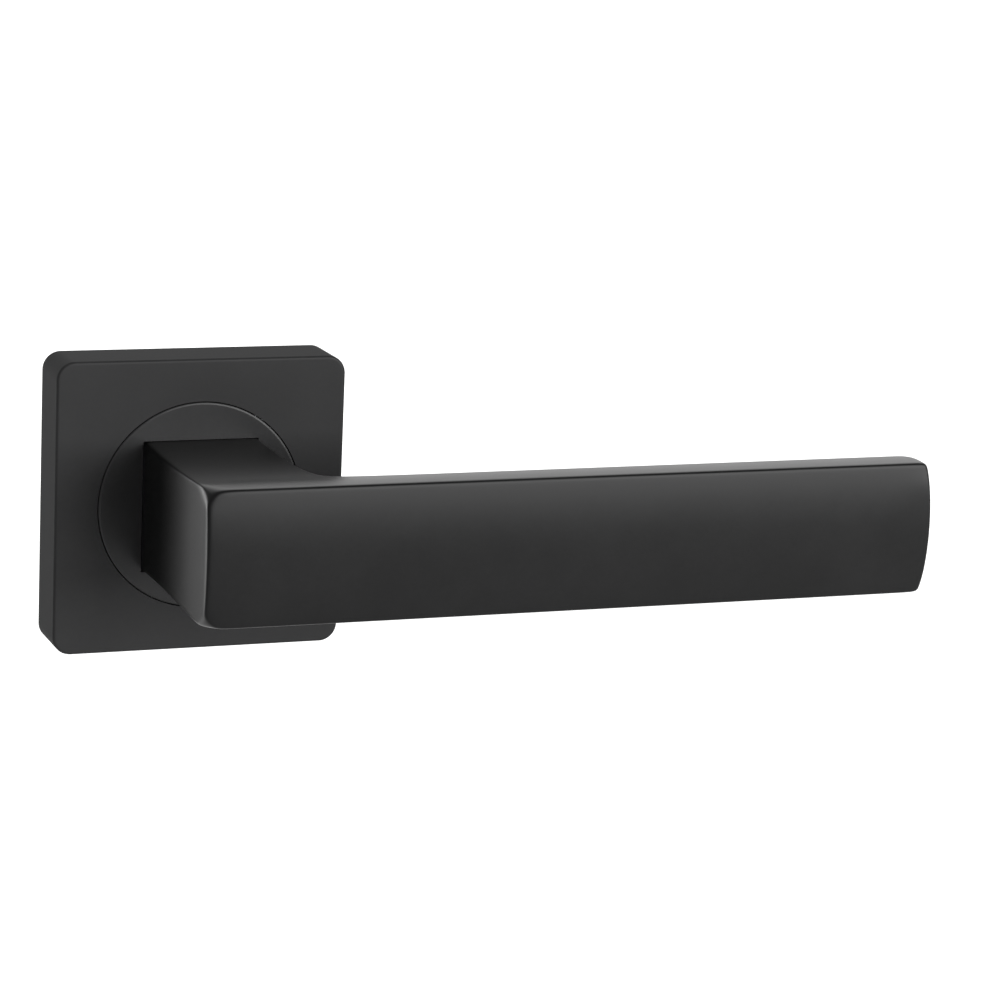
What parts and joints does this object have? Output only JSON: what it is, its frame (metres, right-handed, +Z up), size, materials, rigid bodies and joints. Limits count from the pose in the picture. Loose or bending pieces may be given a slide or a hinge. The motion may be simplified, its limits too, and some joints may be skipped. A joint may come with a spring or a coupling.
{
  "type": "door lever handle",
  "caption": "Flat bar door lever with a rectangular neck, turning in a square sprung rose that hides its fixings.",
  "frame": {"origin": "on the spindle's axis, in the plane where the rose meets the door", "axes": "+X along the lever to its tip, +Y into the door along the spindle, +Z up"},
  "size_m": [0.1488, 0.1093, 0.052],
  "materials": {
    "black_lever": "satin black coating",
    "black_disc": "satin black coating",
    "black_rose": "satin black coating",
    "cast_zinc": "raw cast zinc",
    "plated_steel": "zinc plated",
    "spindle_steel": "drawn and zinc plated",
    "spring_steel": "oiled spring steel",
    "dark_steel": "black oxide",
    "yellow_steel": "yellow passivated",
    "nylon": "natural nylon"
  },
  "bodies": {
    "rose": {"rose_cover": "black_rose", "base_plate": "cast_zinc", "bearing_bush": "nylon", "glide_ring": "nylon", "return_spring": "spring_steel", "spring_anchor_pin": "plated_steel", "stop_pins": "plated_steel", "tie_posts": "plated_steel", "wood_screws": "yellow_steel", "cover_clips": "spring_steel", "clip_rivets": "plated_steel"},
    "lever": {"lever": "black_lever", "collar_disc": "black_disc", "drive_cam": "plated_steel", "spindle": "spindle_steel", "spindle_leaf": "spring_steel", "spindle_grub_screw": "dark_steel", "circlip": "dark_steel", "curved_washer": "spring_steel", "thrust_washer": "nylon"}
  },
  "joints": [
    {"name": "lever_turn", "type": "hinge", "parent": "rose", "child": "lever", "pos_m": [0, 0, 0], "axis": [0, 1, 0], "range_deg": [0, 45], "stiffness_Nm_per_rad": 0.9, "springref_deg": -31.51, "deforming": ["return_spring"]}
  ]
}
